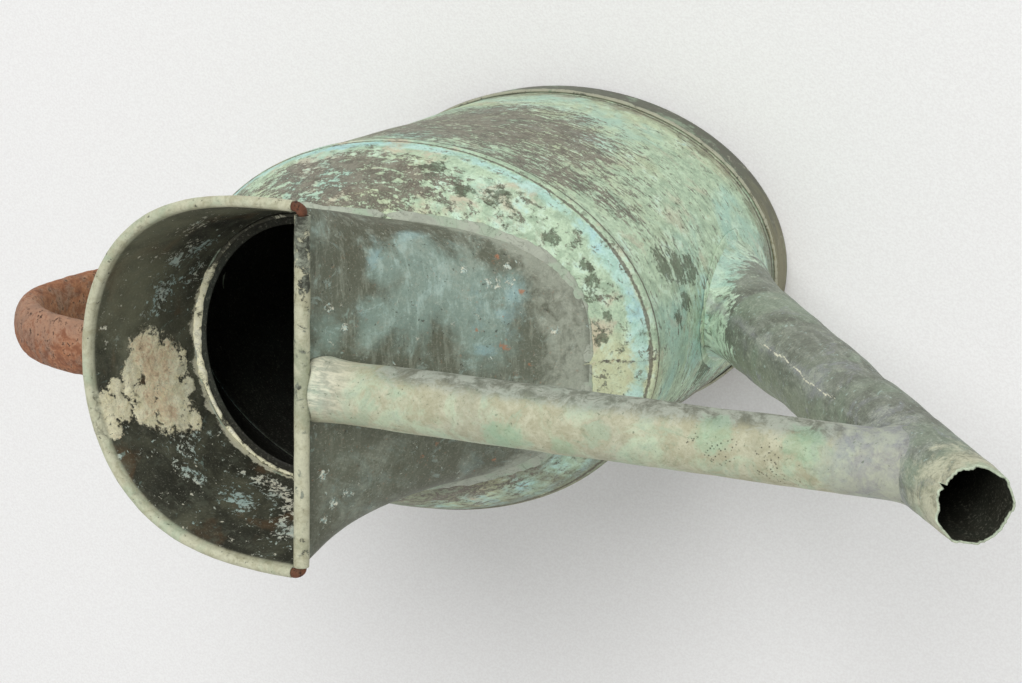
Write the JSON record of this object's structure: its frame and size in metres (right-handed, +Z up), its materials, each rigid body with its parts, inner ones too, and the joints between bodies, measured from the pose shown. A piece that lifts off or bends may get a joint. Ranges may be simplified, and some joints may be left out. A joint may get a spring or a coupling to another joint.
{
  "type": "rusty watering can",
  "caption": "Weathered copper watering can with an oval body, domed shoulder, flared hooded mouth with a rolled rim, long braced spout with a torn tip, and a rusty iron hoop handle at the back.",
  "frame": {"origin": "centre of the oval base's underside, where the can stands on its foot", "axes": "+X to the front, towards the spout; +Y to the can's left; +Z up"},
  "size_m": [0.5635, 0.2022, 0.3936],
  "materials": {
    "verdigris": "chalky pale green patina over brown-grey copper, matt",
    "pale_verdigris": "cream and green patina with dark pits, matt",
    "dark_copper": "dark grey-green tarnish with a blue bloom, matt to satin",
    "brassy_copper": "brown tarnish rubbed to a dull brassy sheen, satin",
    "rust": "orange-brown rust with dark mottling, rough and matt"
  },
  "bodies": {
    "root": {"body_wall": "verdigris", "foot_band": "brassy_copper", "bottom_plate": "brassy_copper", "shoulder_dome": "verdigris", "hood": "pale_verdigris", "breast_panel": "dark_copper", "rim_wire": "rust", "spout": "dark_copper", "brace_tube": "pale_verdigris", "handle": "rust"}
  },
  "joints": []
}
